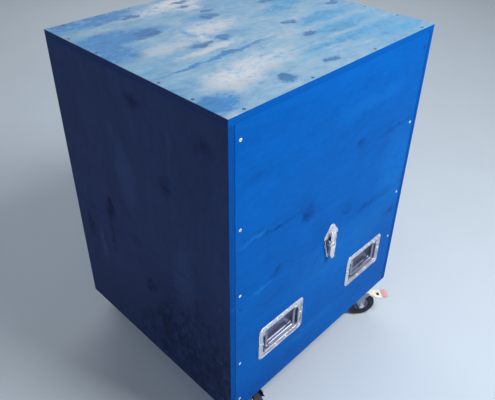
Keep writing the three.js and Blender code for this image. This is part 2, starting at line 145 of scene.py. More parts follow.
def drive(tree, shader, **sockets):
    """Links sockets to the shader's inputs, such as base_color to Base Color."""
    for name, socket in sockets.items():
        tree.links.new(socket, shader.inputs[name.replace("_", " ").title()])


def add_bump(tree, shader, height, strength, distance):
    inputs = {"Height": height, "Strength": strength, "Distance": distance}
    node = add(tree, "ShaderNodeBump", inputs)
    drive(tree, shader, normal=node.outputs["Normal"])


# ---------------------------------------------------------------- wood

AXES = "XYZ"
WOBBLE_SCALE, WOBBLE_REACH = 24.0, 0.055
MARK_RIM, MARK_CORE = 1.15, 0.25
MOST_COVER = 0.90

# Cycles per metre along and across the grain: the stain's clouds, patches and dabs.
STAIN_SCALES = ((3.5, 5.5), (11.0, 18.0), (38.0, 62.0))


def grain_scale(grain, along, across):
    return tuple(along if axis == grain else across for axis in AXES)


def mark_masks(tree, place, marks, plane):
    """Soft irregular patches: (u, v, half length, half width, strength) in metres on the panel's plane."""
    wobble = noise(tree, place, scale=WOBBLE_SCALE, detail=5.0, roughness=0.6, output="Color")
    centred = vector_calc(tree, "SUBTRACT", wobble, (0.5, 0.5, 0.5)).outputs[0]
    shifted = vector_calc(tree, "MULTIPLY_ADD", centred, (WOBBLE_REACH,) * 3)
    tree.links.new(place, shifted.inputs[2])
    total = None
    for u, v, half_u, half_v, strength in marks:
        centre, scale = [0.0, 0.0, 0.0], [0.0, 0.0, 0.0]
        for axis, middle, half in zip(plane, (u, v), (half_u, half_v)):
            centre[AXES.index(axis)] = middle
            scale[AXES.index(axis)] = 1 / half
        offset = vector_calc(tree, "SUBTRACT", shifted.outputs[0], tuple(centre)).outputs[0]
        spread = vector_calc(tree, "MULTIPLY", offset, tuple(scale)).outputs[0]
        distance = vector_calc(tree, "LENGTH", spread).outputs["Value"]
        mask = remap(tree, distance, MARK_RIM, MARK_CORE, 0.0, strength, smooth=True)
        total = mask if total is None else calc(tree, "ADD", total, mask)
    return total


def wood_figure(tree, place, grain, shift):
    """Growth-ring contours, streaks and fine pores, each about 0 to 1."""
    broad = noise(tree, stretched(tree, place, grain_scale(grain, 1.5, 6.5), shift), detail=2.5)
    rings = calc(tree, "SINE", calc(tree, "MULTIPLY", broad, 95.0))
    rings = remap(tree, rings, -1.0, 1.0)
    streak_place = stretched(tree, place, grain_scale(grain, 2.4, 30.0), shift)
    streaks = noise(tree, streak_place, detail=6.0, roughness=0.62)
    pore_place = stretched(tree, place, grain_scale(grain, 14.0, 620.0), shift)
    pores = noise(tree, pore_place, detail=2.0)
    return rings, streaks, pores


def weighted(tree, *terms):
    total = None
    for value, weight in terms:
        part = calc(tree, "MULTIPLY", value, weight)
        total = part if total is None else calc(tree, "ADD", total, part)
    return total


def add_marks(tree, place, plane, color, layers, mottle):
    """Lays each list of marks over a colour, ragged and shaded by the mottle."""
    ragged = remap(tree, mottle, 0.38, 0.60, 0.10, 1.25)
    for marks, mark_color in layers:
        cover = calc(tree, "MULTIPLY", mark_masks(tree, place, marks, plane), ragged)
        mark_color = shaded(tree, mark_color, mottle, 0.36, 0.64, 1.45, 0.70)
        color = blend_colors(tree, calc(tree, "MINIMUM", cover, MOST_COVER), color, mark_color)
    return color


def stained_wood(name, grain, palette, plane, shift, layers=(), *, gloss, specular, figure, spread):
    """Stain and lacquer on a plywood face: a (deep, middle, bright) palette under layers of marks."""
    material, tree, shader = new_material(name, specular=specular)
    place = object_place(tree)
    rings, streaks, pores = wood_figure(tree, place, grain, shift)
    clouds, patches, dabs = [
        noise(tree, stretched(tree, place, grain_scale(grain, *pair), shift), detail=7.0, roughness=0.69)
        for pair in STAIN_SCALES]
    tone = weighted(tree, (clouds, 0.40), (streaks, 0.12), (patches, 0.22), (dabs, 0.26))
    deep, middle, bright = palette
    color = ramp(tree, tone, [(0.5 - spread, deep), (0.5 + spread, bright), (0.5, middle)])
    color = shaded(tree, color, rings, 0.0, 1.0, 1 - figure, 1 + figure / 3)
    color = shaded(tree, color, pores, 0.32, 0.5, 1 - 2.5 * figure, 1.0)
    color = add_marks(tree, place, plane, color, layers, weighted(tree, (patches, 0.4), (dabs, 0.6)))
    roughness = remap(tree, weighted(tree, (clouds, 0.5), (pores, 0.5)), 0.35, 0.65, *gloss)
    drive(tree, shader, base_color=color, roughness=roughness)
    add_bump(tree, shader, weighted(tree, (pores, 0.6), (streaks, 0.9), (rings, 0.25)), 0.3, 0.0005)
    return material


def raw_wood(name, grain, pale, brown, shift):
    """Unfinished planed timber or the inner face of the plywood."""
    material, tree, shader = new_material(name, specular=0.25)
    place = object_place(tree)
    rings, streaks, pores = wood_figure(tree, place, grain, shift)
    tone = weighted(tree, (rings, 0.3), (streaks, 0.5), (pores, 0.2))
    drive(tree, shader, base_color=ramp(tree, tone, [(0.3, brown), (0.68, pale)]),
          roughness=remap(tree, pores, 0.3, 0.7, 0.55, 0.75))
    add_bump(tree, shader, weighted(tree, (pores, 0.5), (rings, 0.5)), 0.3, 0.0004)
    return material


VENEERS, SHEET = 7, 0.018


def ply_edge(name, thickness_axis, thin, thick):
    """Cut edge of the plywood: thin veneers one after another across the sheet."""
    material, tree, shader = new_material(name, specular=0.03)
    place = object_place(tree)
    level = add(tree, "ShaderNodeSeparateXYZ", {"Vector": place}).outputs[AXES.index(thickness_axis)]
    waver = noise(tree, place, scale=30.0, detail=3.0)
    depth = weighted(tree, (level, VENEERS / SHEET / 2), (waver, 0.16))
    stripe = remap(tree, calc(tree, "PINGPONG", depth, 0.5), 0.19, 0.31, smooth=True)
    fibres = noise(tree, stretched(tree, place, (260, 260, 260)), detail=3.0)
    tone = weighted(tree, (stripe, 0.62), (fibres, 0.38))
    drive(tree, shader, base_color=ramp(tree, tone, [(0.16, thin), (0.8, thick)]),
          roughness=remap(tree, fibres, 0.3, 0.7, 0.5, 0.8))
    add_bump(tree, shader, tone, 0.5, 0.0006)
    return material


def edge_set(name, axes, thin, thick):
    """The same cut edge for sheets whose thickness runs along each of the axes."""
    return {axis: ply_edge(f"{name}_{axis}", axis, thin, thick) for axis in axes}


# The stain from deep to bright on each face, then the marks, the bare woods and the cut edges; the left face's
# palette is painted shade and the lid's is partly painted sheen.
FRONT_BLUES = ((0.0008, 0.086, 0.37), (0.0010, 0.110, 0.46), (0.0014, 0.132, 0.54))
# Painted shade: the left face's stain is darkened and greyed for its shade; the right and back faces keep the
# front's blues.
LEFT_SHADED_BLUES = ((0.021, 0.036, 0.108), (0.028, 0.048, 0.140), (0.035, 0.062, 0.175))
# Partly a paler, faded stain and partly a painted sheen: the sky's reflection on the lid is put into its
# colour, as in the pale grey marks.
TOP_BLUES_AND_SHEEN = ((0.016, 0.150, 0.335), (0.120, 0.255, 0.385), (0.285, 0.345, 0.405))
DARK_BLUE, LIGHT_BLUE = (0.001, 0.045, 0.23), (0.010, 0.20, 0.60)
KNOT_BLUE, DEEP_BLUE = (0.001, 0.080, 0.22), (0.003, 0.120, 0.32)
PALE_GREY, CYAN_BLUE = (0.39, 0.40, 0.42), (0.018, 0.175, 0.345)
SHADE_BLUE, HAZE_BLUE = (0.010, 0.018, 0.06), (0.042, 0.078, 0.21)
PINE_PALE, PINE_BROWN = (0.60, 0.42, 0.24), (0.42, 0.26, 0.13)
BARE_PALE, BARE_BROWN = (0.66, 0.50, 0.31), (0.52, 0.36, 0.19)
EDGE_BLUES = ((0.0010, 0.058, 0.27), (0.0012, 0.088, 0.39))
LID_EDGE_BLUES = ((0.0010, 0.082, 0.36), (0.0012, 0.108, 0.46))
SHADED_EDGE_BLUES = ((0.020, 0.034, 0.11), (0.030, 0.050, 0.15))
RIM_BLUES = ((0.0015, 0.062, 0.28), (0.012, 0.13, 0.45))

HALF_W = cad_bounds[1][0]
FRONT_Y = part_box("base_front_panel")[0].y
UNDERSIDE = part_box("base_floor")[0].z


# A mark is two distances from a corner, half its length, half its width, all in metres, and its strength.
def on_front(*marks):
    """Marks placed from the box's lower left front corner: rightwards, then up."""
    return [(x - HALF_W, z + UNDERSIDE, *rest) for x, z, *rest in marks]


def on_top(*marks):
    """Marks placed from the lid's front left corner: rightwards, then back."""
    return [(x - HALF_W, y + FRONT_Y, *rest) for x, y, *rest in marks]


def on_left(*marks):
    """Marks placed from the left side's lower back corner: forwards, then up."""
    return [(-FRONT_Y - back, z + UNDERSIDE, *rest) for back, z, *rest in marks]


FRONT_DARK_MARKS_AND_SHADE = on_front(
    (0.277, 0.568, 0.030, 0.034, 1.15),
    (0.155, 0.592, 0.150, 0.009, 0.6),
    (0.660, 0.668, 0.110, 0.010, 0.55),
    (0.610, 0.441, 0.150, 0.015, 0.6),
    (0.160, 0.440, 0.030, 0.018, 0.6),
    (0.488, 0.686, 0.026, 0.020, 0.7),
    (0.460, 0.480, 0.030, 0.018, 0.6),
    (0.714, 0.338, 0.040, 0.018, 0.7),
    (0.090, 0.770, 0.050, 0.020, 0.4),
    # Painted shade: the front darker towards the bottom.
    (0.120, 0.000, 0.360, 0.130, 0.45),
)
FRONT_LIGHT = on_front(
    (0.085, 0.602, 0.055, 0.012, 0.6),
    (0.118, 0.418, 0.045, 0.010, 0.6),
    (0.520, 0.800, 0.200, 0.030, 0.2),
    (0.330, 0.100, 0.160, 0.030, 0.3),
    (0.450, 0.330, 0.260, 0.110, 0.35),
    (0.690, 0.500, 0.110, 0.200, 0.35),
)
TOP_KNOTS = on_top(
    (0.179, 0.479, 0.036, 0.026, 3.3),
    (0.376, 0.470, 0.034, 0.018, 2.8),
    (0.404, 0.508, 0.026, 0.015, 2.1),
    (0.215, 0.320, 0.044, 0.015, 2.3),
    (0.294, 0.322, 0.022, 0.018, 2.8),
    (0.498, 0.287, 0.028, 0.016, 2.8),
    (0.470, 0.188, 0.026, 0.017, 2.3),
    (0.724, 0.310, 0.034, 0.020, 2.4),
    (0.221, 0.047, 0.032, 0.022, 2.4),
    (0.376, 0.045, 0.032, 0.012, 1.6),
    (0.376, 0.583, 0.026, 0.013, 2.4),
    (0.404, 0.620, 0.034, 0.013, 2.4),
    (0.215, 0.611, 0.034, 0.018, 2.1),
    (0.600, 0.455, 0.040, 0.018, 2.3),
)
TOP_DEEP = on_top(
    (0.030, 0.061, 0.070, 0.050, 2.0),
    (0.150, 0.485, 0.110, 0.040, 1.7),
    (0.060, 0.510, 0.120, 0.060, 1.7),
    (0.030, 0.420, 0.080, 0.090, 1.15),
    (0.100, 0.650, 0.240, 0.050, 1.5),
    (0.200, 0.236, 0.230, 0.010, 1.5),
    (0.350, 0.480, 0.060, 0.030, 1.15),
    (0.245, 0.400, 0.014, 0.040, 1.15),
)
TOP_CYAN = on_top(
    (0.600, 0.250, 0.130, 0.040, 1.6),
    (0.590, 0.170, 0.150, 0.040, 1.35),
    (0.620, 0.100, 0.160, 0.030, 1.25),
    (0.700, 0.050, 0.160, 0.030, 1.25),
    (0.450, 0.110, 0.120, 0.020, 0.95),
    (0.680, 0.420, 0.130, 0.060, 1.35),
    (0.700, 0.560, 0.140, 0.070, 1.35),
    (0.560, 0.380, 0.100, 0.050, 0.95),
)
TOP_PALE = on_top(
    (0.320, 0.400, 0.130, 0.060, 0.85),
    (0.220, 0.285, 0.140, 0.020, 0.85),
    (0.220, 0.150, 0.170, 0.060, 0.85),
    (0.130, 0.110, 0.110, 0.060, 0.65),
    (0.380, 0.560, 0.060, 0.030, 0.9),
    (0.400, 0.640, 0.100, 0.030, 0.65),
    (0.150, 0.360, 0.110, 0.050, 0.55),
    (0.250, 0.350, 0.020, 0.060, 0.65),
    (0.340, 0.615, 0.200, 0.055, 1.0),
)
LEFT_DARK_MARKS_AND_SHADE = on_left(
    (0.197, 0.470, 0.028, 0.050, 1.25),
    (0.190, 0.370, 0.014, 0.090, 0.9),
    (0.066, 0.340, 0.022, 0.070, 0.9),
    (0.367, 0.273, 0.028, 0.034, 0.9),
    (0.367, 0.865, 0.040, 0.026, 0.75),
    (0.620, 0.846, 0.040, 0.030, 0.75),
    (0.470, 0.677, 0.026, 0.040, 0.75),
    # Painted shade: the left side darker towards the bottom and towards its lower front.
    (0.420, 0.000, 0.500, 0.260, 0.6),
    (0.560, 0.160, 0.260, 0.320, 0.75),
)
LEFT_LIGHT = on_left(
    (0.122, 0.290, 0.016, 0.070, 0.9),
    (0.300, 0.620, 0.050, 0.120, 0.6),
    (0.520, 0.420, 0.050, 0.160, 0.45),
)

SATIN = {"gloss": (0.45, 0.60), "specular": 0.03, "figure": 0.03, "spread": 0.15}
front_ply = stained_wood("stained_ply_front", "X", FRONT_BLUES, "XZ", (3.1, 0.4, 1.7),
                         [(FRONT_DARK_MARKS_AND_SHADE, DARK_BLUE), (FRONT_LIGHT, LIGHT_BLUE)], **SATIN)
back_ply = stained_wood("stained_ply_back", "X", FRONT_BLUES, "XZ", (7.7, 2.2, 5.1), **SATIN)
# Painted shade: the left face takes the darker palette, with its marks in shaded tones.
left_ply_painted_shade = stained_wood("stained_ply_left_painted_shade", "Z", LEFT_SHADED_BLUES, "YZ", (4.6, 2.9, 0.7),
                        [(LEFT_DARK_MARKS_AND_SHADE, SHADE_BLUE), (LEFT_LIGHT, HAZE_BLUE)], **SATIN)
right_ply = stained_wood("stained_ply_right", "Z", FRONT_BLUES, "YZ", (0.9, 6.1, 3.7), **SATIN)
# The lid's pale palette and pale marks are partly painted sheen.
top_ply_and_sheen = stained_wood("stained_ply_top_and_sheen", "X", TOP_BLUES_AND_SHEEN, "XY", (1.3, 8.4, 0.2),
                       [(TOP_CYAN, CYAN_BLUE), (TOP_PALE, PALE_GREY), (TOP_DEEP, DEEP_BLUE),
                        (TOP_KNOTS, KNOT_BLUE)],
                       gloss=(0.40, 0.55), specular=0.16, figure=0.06, spread=0.145)
inner_ply = {grain: raw_wood(f"bare_ply_{grain}", grain, BARE_PALE, BARE_BROWN, (2.0, 1.0, 0.5))
             for grain in "XZ"}
batten_wood = raw_wood("batten_softwood", "Z", PINE_PALE, PINE_BROWN, (5.0, 3.0, 0.0))
blue_edge = edge_set("stained_edge", "XY", *EDGE_BLUES) | edge_set("stained_edge", "Z", *LID_EDGE_BLUES)
dark_edge = edge_set("shaded_edge", AXES, *SHADED_EDGE_BLUES)
rim_edge = edge_set("worn_rim", "XY", *RIM_BLUES)


# ---------------------------------------------------------------- metal, rubber, plastic


def plated_metal(name, color, roughness, speckle=0.12, scratches=0.25):
    """Bright plating: faint spangle, handling marks and fine scratches."""
    material, tree, shader = new_material(name, color, metallic=1.0)
    place = object_place(tree)
    spangle = noise(tree, place, scale=140.0, detail=3.0)
    smears = noise(tree, stretched(tree, place, (22, 30, 55)), detail=4.0)
    marbling = weighted(tree, (spangle, 0.5), (smears, 0.5))
    drive(tree, shader, base_color=shaded(tree, color, marbling, 0.35, 0.65, 1 - speckle, 1.0),
          roughness=remap(tree, smears, 0.3, 0.7, roughness * 0.75, roughness * 1.35))
    fine = noise(tree, stretched(tree, place, (900, 160, 160)), detail=2.0)
    add_bump(tree, shader, weighted(tree, (fine, 0.6), (spangle, 0.4)), scratches, 0.0002)
    return material


def coated(name, color, roughness, grain=260.0, depth=0.3, variation=0.12, metallic=0.0):
    """Paint, moulded plastic or rubber with a fine surface texture."""
    material, tree, shader = new_material(name, color, metallic=metallic)
    place = object_place(tree)
    texture = noise(tree, place, scale=grain, detail=3.0)
    grime = noise(tree, place, scale=38.0, detail=5.0)
    drive(tree, shader, base_color=shaded(tree, color, grime, 0.3, 0.65, 1 - variation, 1.0),
          roughness=remap(tree, grime, 0.3, 0.7, roughness * 0.85, roughness * 1.2))
    add_bump(tree, shader, texture, depth, 0.0003)
    return material


zinc = plated_metal("zinc_plate", (0.76, 0.77, 0.84), 0.28, speckle=0.2)
# Painted shade: a darker copy of the zinc for the wells of the handle pans.
pan_zinc_painted_shade = plated_metal("zinc_pan_painted_shade", (0.30, 0.33, 0.46), 0.42, speckle=0.3)
plate_zinc = plated_metal("zinc_shaded", (0.20, 0.22, 0.30), 0.40, speckle=0.3)
# Painted shade: the bail's steel darkened for the shade inside the pan.
bail_steel_painted_shade = plated_metal("bail_steel_painted_shade", (0.36, 0.38, 0.48), 0.34, scratches=0.03)
# Painted shade: the caster forks' zinc darkened for the shade under the chest.
fork_zinc_painted_shade = plated_metal("fork_zinc_painted_shade", (0.36, 0.37, 0.47), 0.36, speckle=0.2)
# Painted highlight: a brighter, half-diffuse copy of the zinc, so that rivets, rolled edges and the catch read
# bright from every side.
zinc_painted_highlight = coated("zinc_painted_highlight", (0.80, 0.81, 0.86), 0.26, variation=0.22, metallic=0.5)
steel = plated_metal("bright_steel", (0.80, 0.80, 0.83), 0.20, speckle=0.08)
screw_white = coated("white_screw", (0.86, 0.88, 0.90), 0.32, variation=0.15)
screw_dark = plated_metal("dark_screw", (0.05, 0.07, 0.12), 0.45)
hub_plastic = coated("hub_plastic", (0.17, 0.21, 0.29), 0.42)
rubber = coated("tyre_rubber", (0.016, 0.012, 0.034), 0.62, grain=420.0, depth=0.5, variation=0.35)
cream_paint = coated("cream_paint", (0.84, 0.82, 0.68), 0.36)
red_plastic = coated("red_pedal_tip", (0.66, 0.36, 0.36), 0.42)
# Painted shadow: a near-black fill for openings that stand in shade.
painted_shadow_fill = coated("painted_shadow", (0.02, 0.02, 0.025), 0.7)


# ---------------------------------------------------------------- meshes


def round_edges(obj, width, segments=2, angle=34.0, harden=True):
    rounding = obj.modifiers.new("rounded_edges", "BEVEL")
    rounding.width = width
    rounding.segments = segments
    rounding.limit_method = "ANGLE"
    rounding.angle_limit = math.radians(angle)
    rounding.harden_normals = harden


def link_mesh(name, bm, materials, smooth=35.0, bevel=0.0, segments=2):
    """A named object from a bmesh, shaded smooth below the given angle, with rounded edges if asked."""
    bmesh.ops.recalc_face_normals(bm, faces=bm.faces)
    mesh = bpy.data.meshes.new(name)
    bm.to_mesh(mesh)
    bm.free()
    for material in materials:
        mesh.materials.append(material)
    mesh.shade_smooth()
    mesh.set_sharp_from_angle(angle=math.radians(smooth))
    obj = bpy.data.objects.new(name, mesh)
    bpy.context.scene.collection.objects.link(obj)
    if bevel:
        round_edges(obj, bevel, segments)
    return obj


def settle(obj, body, replaced):
    """Makes a piece ride on a body and hides the CAD nodes it stands for."""
    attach(obj, body)
    if replaced:
        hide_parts(*replaced)
    return obj


def add_piece(name, body, slot_name, materials, build, replaced=(), **finish):
    """A piece on a body whose mesh is made by build(bm)."""
    bm = bmesh.new()
    build(bm)
    return settle(link_mesh(name, bm, materials, **finish), body, replaced)


def copy_of_node(node):
    """The CAD node's solid with its flat triangles merged into whole faces."""
    bm = bmesh.new()
    bm.from_mesh(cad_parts[node].data)
    bmesh.ops.remove_doubles(bm, verts=bm.verts, dist=1e-6)
    bmesh.ops.dissolve_limit(bm, angle_limit=math.radians(0.5), verts=bm.verts, edges=bm.edges)
    return bm


def refined(node, body, material, bevel, segments=2):
    obj = link_mesh(f"{node}_finished", copy_of_node(node), [material], bevel=bevel, segments=segments)
    return settle(obj, body, [node])


def station(x, y, z, turn=0.0):
    """A local frame in millimetres at a point of the object's frame, turned about the vertical."""
    return Matrix.Translation((x, y, z)) @ Matrix.Rotation(turn, 4, "Z") @ Matrix.Scale(MM, 4)


def arc(cu, cv, radius, start, end, steps):
    angles = [math.radians(start + (end - start) * i / steps) for i in range(steps + 1)]
    return [(cu + radius * math.cos(a), cv + radius * math.sin(a)) for a in angles]


def rounded_rect(half_u, half_v, radius, steps=7):
    points = []
    for su, sv, start in ((1, -1, -90), (1, 1, 0), (-1, 1, 90), (-1, -1, 180)):
        points += arc(su * (half_u - radius), sv * (half_v - radius), radius, start, start + 90, steps)
    return points


def loft(bm, rings, closed=False):
    """Joins rings of equally many points with four-sided faces, and closes the ends or joins them."""
    made = [[bm.verts.new(point) for point in ring] for ring in rings]
    pairs = list(zip(made, made[1:]))
    if closed:
        pairs.append((made[-1], made[0]))
    for first, second in pairs:
        for i in range(len(first)):
            j = (i + 1) % len(first)
            bm.faces.new((first[i], first[j], second[j], second[i]))
    if not closed:
        bm.faces.new(list(reversed(made[0])))
        bm.faces.new(made[-1])


def prism(bm, outline, low, high, to_point):
    """A straight block between two levels of an outline."""
    loft(bm, [[to_point(u, v, level) for u, v in outline] for level in (low, high)])


def lathe(bm, profile, segments, place, closed=False):
    """Turns (radius, height) pairs about the local Z axis. A closed profile makes a ring."""
    angles = [2 * math.pi * i / segments for i in range(segments)]
    rings = [[place @ Vector((radius * math.cos(a), radius * math.sin(a), height)) for a in angles]
             for radius, height in profile]
    loft(bm, rings, closed)


def tube(bm, path, radius, sides):
    """A round bar along a list of points."""
    normal = None
    rings = []
    for i, point in enumerate(path):
        ahead = (path[min(i + 1, len(path) - 1)] - path[max(i - 1, 0)]).normalized()
        if normal is None:
            normal = ahead.orthogonal().normalized()
        normal = (normal - ahead * normal.dot(ahead)).normalized()
        side = ahead.cross(normal)
        angles = [2 * math.pi * k / sides for k in range(sides)]
        rings.append([point + radius * (math.cos(a) * normal + math.sin(a) * side) for a in angles])
    loft(bm, rings)


# ---------------------------------------------------------------- plywood panels

OUTWARD = {"front": Vector((0, -1, 0)), "back": Vector((0, 1, 0)), "left": Vector((-1, 0, 0)),
           "right": Vector((1, 0, 0)), "top": Vector((0, 0, 1)), "floor": Vector((0, 0, -1))}
FACE_PLY = {"front": front_ply, "back": back_ply, "left": left_ply_painted_shade, "right": right_ply,
            "top": top_ply_and_sheen, "floor": back_ply}
THICKNESS_AXIS = {"front": "Y", "back": "Y", "left": "X", "right": "X", "top": "Z", "floor": "Z"}
OUTER, INNER, EDGE, RIM, SHADED_EDGE = range(5)
RIM_REACH = 0.002


def cut_along_joints(bm, joint):
    """Cuts a sheet in line with its neighbours' inner faces, so that the joints can be coloured."""
    for sign in (-1, 1):
        for normal in ((1, 0, 0), (0, 1, 0)):
            whole = bm.verts[:] + bm.edges[:] + bm.faces[:]
            bmesh.ops.bisect_plane(bm, geom=whole, plane_co=sign * joint, plane_no=normal)


def panel_coat(polygon, outward, joint, parting):
    """Which of a panel's materials a face takes."""
    middle = polygon.calc_center_median()
    facing_out = polygon.normal.dot(outward)
    if facing_out > 0.9:
        return OUTER
    if facing_out < -0.9:
        inside = abs(middle.x) < joint.x + MM and abs(middle.y) < joint.y + MM
        return INNER if inside else EDGE
    if abs(polygon.normal.z) > 0.9 and abs(middle.z - parting) < RIM_REACH:
        return RIM
    return SHADED_EDGE if polygon.normal.x < -0.9 else EDGE


def panel(node, body, face):
    """One sheet: stained outer face, in painted shade on the left side, bare inner face, layered edges, in
    painted shade where they face left, and a worn rim at the parting line.
    """
    bm = copy_of_node(node)
    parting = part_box("hood_front_panel")[0].z
    joint = Vector((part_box("hood_right_panel")[0].x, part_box("hood_back_panel")[0].y, 0))
    if face in ("left", "right", "top"):
        cut_along_joints(bm, joint)
    bm.normal_update()
    for polygon in bm.faces:
        polygon.material_index = panel_coat(polygon, OUTWARD[face], joint, parting)
    axis = THICKNESS_AXIS[face]
    edge = blue_edge[axis]
    inner = inner_ply["Z" if face in ("left", "right") else "X"]
    materials = [FACE_PLY[face], inner, edge, rim_edge.get(axis, edge), dark_edge[axis]]
    obj = link_mesh(f"{node}_finished", bm, materials, bevel=1.1 * MM, segments=3)
    return settle(obj, body, [node])


def add_panels():
    for body in ("base", "hood"):
        for face in ("front", "back", "left", "right"):
            panel(f"{body}_{face}_panel", body, face)
    panel("hood_top_panel", "hood", "top")
    panel("base_floor", "base", "floor")
    for body in ("base", "hood"):
        for corner in CORNERS:
            refined(f"{body}_batten_{corner}", body, batten_wood, 1.5 * MM)


# ---------------------------------------------------------------- fasteners

# Degrees from one head to the next, head radii in millimetres, and the heads' places in metres.
HEAD_TURN = 37
SCREW_RADIUS, LID_SCREW_RADIUS = 4.2, 4.0
SCREW_INSET, LID_INSET = 0.034, 0.009
LID_ALONG_X = (0.052, 0.262, 0.500, 0.720)
LID_ALONG_Y = (0.110, 0.220, 0.455, 0.580)
SCREW_ROWS = {"hood": (0.449, 0.653, 0.882), "base": (0.045, 0.197, 0.401)}
FRONT_SCREWS = {
    "white": [("hood", -1, 0.449), ("hood", -1, 0.653), ("hood", -1, 0.882), ("hood", 1, 0.653),
              ("base", -1, 0.045), ("base", -1, 0.197), ("base", 1, 0.217), ("base", 1, 0.401)],
    "stained": [("hood", 1, 0.449), ("hood", 1, 0.882), ("base", -1, 0.401), ("base", 1, 0.045)],
}


def facing(direction):
    """Turns local +Z to point along a direction."""
    return Vector(direction).to_track_quat("Z", "Y").to_matrix().to_4x4()


def screw_head(bm, place, radius):
    """A shallow domed head with a cross recess, in millimetres, its seat at height 0."""
    arm, half = 0.58, 0.13
    cross = [(arm, -half), (arm, half), (half, half), (half, arm), (-half, arm), (-half, half),
             (-arm, half), (-arm, -half), (-half, -half), (-half, -arm), (half, -arm), (half, -half)]
    angles = [math.atan2(v, u) for u, v in cross]

    def ring(share, height):
        return [place @ Vector((radius * share * math.cos(a), radius * share * math.sin(a), height))
                for a in angles]

    def recess(share, height):
        return [place @ Vector((radius * share * u, radius * share * v, height)) for u, v in cross]

    loft(bm, [ring(1.0, -0.6), ring(1.0, 0.05), ring(0.93, 0.22), ring(0.78, 0.34),
              recess(1.0, 0.38), recess(0.9, -0.5)])


def rivet_head(bm, place, radius, height):
    dome = [(radius * math.cos(a), height * math.sin(a))
            for a in [math.radians(d) for d in (0, 25, 50, 72)]]
    lathe(bm, [(radius, -0.4), *dome, (radius * 0.08, height)], 20, place)


def hex_head(bm, place, across, height):
    """A hexagon bolt head or nut with its chamfer."""
    def ring(radius, level):
        return [place @ Vector((radius * math.cos(a), radius * math.sin(a), level))
                for a in [math.radians(60 * i) for i in range(6)]]

    radius = across / math.sqrt(3)
    loft(bm, [ring(radius, -0.2), ring(radius, height * 0.85), ring(radius * 0.9, height)])


def fastener_group(name, body, slot_name, material, places, build):
    """Heads made by build(bm, place) in one piece, each driven home at another angle."""
    def build_all(bm):
        for index, place in enumerate(places):
            build(bm, place @ Matrix.Rotation(math.radians(HEAD_TURN * index), 4, "Z"))

    return add_piece(name, body, slot_name, [material], build_all, smooth=50)


def add_screws(name, body, material, places, radius):
    fastener_group(name, body, "bright_steel", material, places,
                   lambda bm, place: screw_head(bm, place, radius))


def at(x, y, z, direction):
    """A frame in millimetres on a surface, its +Z along the direction."""
    return Matrix.Translation((x, y, z)) @ Matrix.Scale(MM, 4) @ facing(direction)


def corner_screws(body, face):
    """Screws through the panel into its two corner battens."""
    low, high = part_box(f"{body}_{face}_panel")
    places = []
    for z in SCREW_ROWS[body]:
        for end in (-1, 1):
            if face == "back":
                places.append(at(end * (HALF_W - SCREW_INSET), high.y, UNDERSIDE + z, OUTWARD[face]))
            else:
                x = low.x if face == "left" else high.x
                places.append(at(x, end * (-FRONT_Y - SCREW_INSET), UNDERSIDE + z, OUTWARD[face]))
    return places


def add_front_screws(body):
    """White heads, except for the few that the stain has covered."""
    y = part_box(f"{body}_front_panel")[0].y
    for tone, material in (("white", screw_white), ("stained", screw_dark)):
        places = [at(end * (HALF_W - SCREW_INSET), y, UNDERSIDE + z, (0, -1, 0))
                  for owner, end, z in FRONT_SCREWS[tone] if owner == body]
        add_screws(f"screws_{body}_front_{tone}", body, material, places, SCREW_RADIUS)


def lid_screws():
    """Two rows along the lid's long edges, then two along its short ones."""
    low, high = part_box("hood_top_panel")
    rows_y = (low.y + LID_INSET, high.y - LID_INSET)
    rows_x = (low.x + LID_INSET, high.x - LID_INSET)
    spots = [(low.x + x, y) for x in LID_ALONG_X for y in rows_y]
    spots += [(x, low.y + y) for y in LID_ALONG_Y for x in rows_x]
    return [at(x, y, high.z, (0, 0, 1)) for x, y in spots]


def add_panel_screws():
    for body in ("base", "hood"):
        add_front_screws(body)
        for face in ("back", "left", "right"):
            material = screw_white if face == "back" else screw_dark
            add_screws(f"screws_{body}_{face}", body, material, corner_screws(body, face), SCREW_RADIUS)
    add_screws("screws_top", "hood", screw_dark, lid_screws(), LID_SCREW_RADIUS)


# ---------------------------------------------------------------- recessed handles

FLANGE_FACE = -1.8
RIVETS_UP = 51.5
RIVET_RADIUS, RIVET_HEIGHT = 4.0, 2.0
FLANGE_RIVETS = [(su * 81.5, sv * RIVETS_UP) for su in (-1, 1) for sv in (-1, 1)]
FLANGE_RIVETS += [(-84, 0), (84, 0), (-22, -RIVETS_UP), (22, -RIVETS_UP)]
FLANGE_RIVETS += [(u, RIVETS_UP) for u in (-62, -41, -20, 0, 20, 41, 62)]

# The pressed pan from the back of its floor, round the flange, to the front of its floor:
# half width, half height, corner radius and depth behind the chest's face.
PAN_SECTIONS = [
    (59, 26, 6, 21.7), (71, 39, 10, 21.7), (75.5, 43.5, 12.5, 17.5), (75.5, 43.5, 12.5, -0.3),
    (91, 60.5, 13, -0.3), (91, 60.5, 13, -1.3), (90.4, 59.9, 12.6, -1.8), (78.6, 46.6, 14.4, -1.8),
    (77.6, 45.6, 13.6, -2.4), (76.2, 44.2, 12.8, -2.5), (74.8, 42.8, 11.6, -1.9),
    (74, 42, 11, 0.2), (73.6, 41.6, 10.8, 16), (72, 40, 9.6, 19.3), (69, 37, 8.0, 20.2),
    (57, 25, 5, 20.2),
]
BAIL_LEG, BAIL_TOP, BAIL_GRIP, BAIL_DEPTH, BAIL_RADIUS, BAIL_END = 58, 31, -30.5, 4, 4.7, 72.2
BOSS_INNER, BOSS_OUTER = 67.5, 73.8


def handle_pan(bm, place):
    rings = []
    for half_u, half_v, radius, depth in PAN_SECTIONS:
        rings.append([place @ Vector((u, depth, v)) for u, v in rounded_rect(half_u, half_v, radius)])
    loft(bm, rings)


